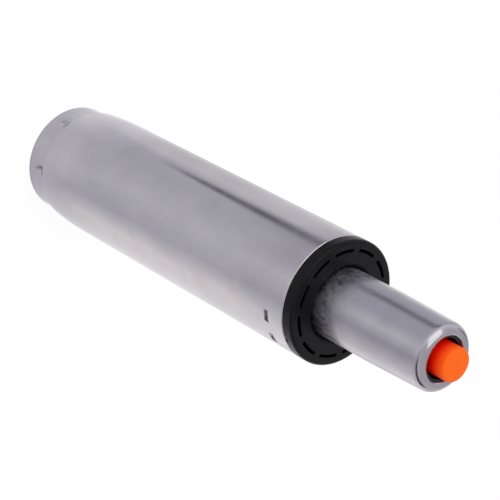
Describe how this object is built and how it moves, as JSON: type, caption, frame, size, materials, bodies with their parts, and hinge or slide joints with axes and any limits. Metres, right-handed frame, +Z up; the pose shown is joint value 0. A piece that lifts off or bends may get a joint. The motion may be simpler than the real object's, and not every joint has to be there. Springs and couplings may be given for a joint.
{
  "type": "chair gas lift cylinder",
  "caption": "Chair gas lift: a steel column with a guide bush holds a lockable gas spring that slides up, turns on a thrust bearing and is released by a button on top.",
  "frame": {"origin": "on the axis, in the plane of the foot's lower edge", "axes": "+Z up the lift's axis from the foot to the release button, +X to the right seen from the side the picture shows"},
  "size_m": [0.05, 0.05, 0.2313],
  "materials": {
    "column_steel": "satin ground and sealed steel",
    "plate_steel": "plain stamped steel",
    "bush_plastic": "black moulded acetal, satin",
    "race_steel": "ground bearing steel",
    "cage_brass": "stamped brass",
    "ball_steel": "polished bearing steel",
    "rod_chrome": "hard chrome, polished",
    "washer_steel": "zinc-plated steel",
    "bumper_rubber": "moulded rubber",
    "clip_steel": "oiled spring steel",
    "guide_bronze": "sintered bronze",
    "seal_rubber": "moulded nitrile rubber",
    "tube_steel": "satin drawn steel, polished at the rolled end",
    "seat_plastic": "moulded plastic",
    "liner_steel": "honed drawn steel",
    "valve_alloy": "turned alloy",
    "button_plastic": "orange moulded plastic, semi-gloss"
  },
  "bodies": {
    "column": {"column_tube": "column_steel", "base_plate": "plate_steel", "guide_bush": "bush_plastic", "bearing_lower_race": "race_steel"},
    "ball_cage": {"ball_cage": "cage_brass", "bearing_balls": "ball_steel"},
    "rod": {"piston_rod": "rod_chrome", "bearing_upper_race": "race_steel", "bumper_washer": "washer_steel", "bumper": "bumper_rubber", "retaining_washer": "washer_steel", "retaining_clip": "clip_steel", "piston_washer": "washer_steel", "piston": "guide_bronze", "piston_seal": "seal_rubber", "piston_nut": "washer_steel"},
    "gas_spring": {"pressure_tube": "tube_steel", "end_washer": "washer_steel", "rod_guide": "guide_bronze", "rod_seal": "seal_rubber", "seal_backing_washer": "washer_steel", "liner_seat": "seat_plastic", "cylinder_liner": "liner_steel", "valve_body": "valve_alloy", "valve_head": "valve_alloy", "valve_gland": "valve_alloy", "valve_spacer": "guide_bronze", "valve_pin_seals": "seal_rubber", "valve_body_seal": "seal_rubber", "valve_liner_seal": "seal_rubber"},
    "release_button": {"release_button": "button_plastic", "valve_pin": "rod_chrome"}
  },
  "joints": [
    {"name": "seat_swivel", "type": "hinge", "parent": "column", "child": "rod", "pos_m": [0, 0, 0], "axis": [0, 0, 1], "continuous": true},
    {"name": "cage_spin", "type": "hinge", "parent": "column", "child": "ball_cage", "pos_m": [0, 0, 0], "axis": [0, 0, 1], "continuous": true},
    {"name": "height_slide", "type": "slide", "parent": "rod", "child": "gas_spring", "axis": [0, 0, 1], "range_m": [0, 0.08]},
    {"name": "button_press", "type": "slide", "parent": "gas_spring", "child": "release_button", "axis": [0, 0, 1], "range_m": [-0.004, 0], "stiffness_N_per_m": 4000, "springref_m": 0.005}
  ],
  "couplings": [
    {"joint": "cage_spin", "follows": "seat_swivel", "ratio": 0.5}
  ]
}
